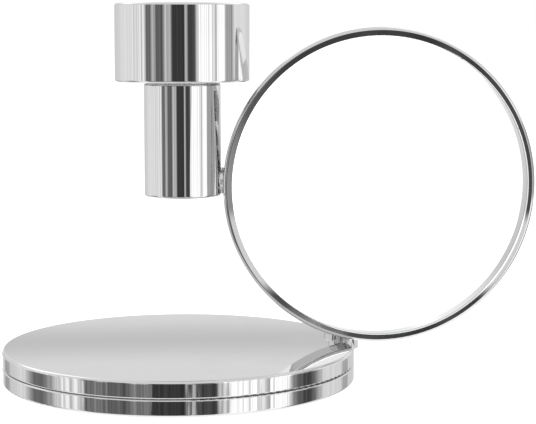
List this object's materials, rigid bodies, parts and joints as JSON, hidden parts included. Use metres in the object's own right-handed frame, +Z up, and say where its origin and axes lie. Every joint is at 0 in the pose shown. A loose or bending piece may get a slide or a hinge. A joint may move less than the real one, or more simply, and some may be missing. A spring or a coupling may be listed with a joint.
{
  "type": "extendable shaving mirror",
  "caption": "Free-standing chrome shaving mirror on a heavy turntable base, held by a T-shaped swivel head on an arm and a telescopic upright behind it.",
  "frame": {"origin": "centre of the base's underside, on the surface the mirror stands on", "axes": "+Z up, +X from the base's axis towards the mirror, +Y away from the user who looks into the mirror"},
  "size_m": [0.3359, 0.2208, 0.2349],
  "materials": {
    "chrome": "mirror polished",
    "back_chrome": "satin polished",
    "steel": "zinc plated",
    "nylon": "natural",
    "rubber": "matt",
    "brass": "turned",
    "fibre": "pressed",
    "mirror": "silvered float glass",
    "felt": "pressed felt"
  },
  "bodies": {
    "base": {"foot_pad": "rubber", "lower_plate": "chrome", "slide_disc": "nylon", "pivot_bush": "nylon"},
    "turntable": {"upper_plate": "chrome", "pivot_bolt": "steel", "pivot_washer": "steel", "post_tube": "chrome", "post_trim": "chrome", "post_plug": "steel", "post_screw": "steel"},
    "collar": {"clamp_collar": "chrome", "guide_bush": "nylon", "clamp_pad": "nylon"},
    "clamp": {"clamp_screw": "chrome"},
    "arm": {"arm_tube": "chrome", "slide_foot": "nylon", "arm_nut": "steel", "head_cap": "chrome", "cap_floor": "steel", "swivel_bush": "nylon"},
    "stem": {"head_stem": "chrome", "swivel_washer": "nylon", "swivel_spring": "steel", "swivel_bolt": "steel", "swivel_nut": "steel", "stem_plug": "steel", "tilt_bush": "nylon", "friction_shoe": "brass", "tilt_grub_screw": "steel", "tilt_washer": "fibre"},
    "mirror": {"tilt_shaft": "steel", "mirror_frame": "chrome", "mirror_glass": "mirror", "backing_pad": "felt", "back_cover": "back_chrome", "cover_screws": "steel"}
  },
  "joints": [
    {"name": "base_turn", "type": "hinge", "parent": "base", "child": "turntable", "pos_m": [0, 0, 0.0113], "axis": [0, 0, 1], "continuous": true},
    {"name": "arm_swing", "type": "hinge", "parent": "turntable", "child": "collar", "pos_m": [0.10747, 0.0315, 0.0855], "axis": [0, 0, 1], "range_deg": [-90, 90]},
    {"name": "height", "type": "slide", "parent": "collar", "child": "arm", "axis": [0, 0, 1], "range_m": [0, 0.05]},
    {"name": "clamp_turn", "type": "hinge", "parent": "collar", "child": "clamp", "pos_m": [0.10747, 0.05, 0.0925], "axis": [0, 1, 0], "range_deg": [-180, 180]},
    {"name": "mirror_swing", "type": "hinge", "parent": "arm", "child": "stem", "pos_m": [0.003, 0, 0.186], "axis": [0, 0, 1], "range_deg": [-180, 1]},
    {"name": "mirror_tilt", "type": "hinge", "parent": "stem", "child": "mirror", "pos_m": [0.0279, 0, 0.125], "axis": [-1, 0, 0], "range_deg": [-4, 40]}
  ]
}
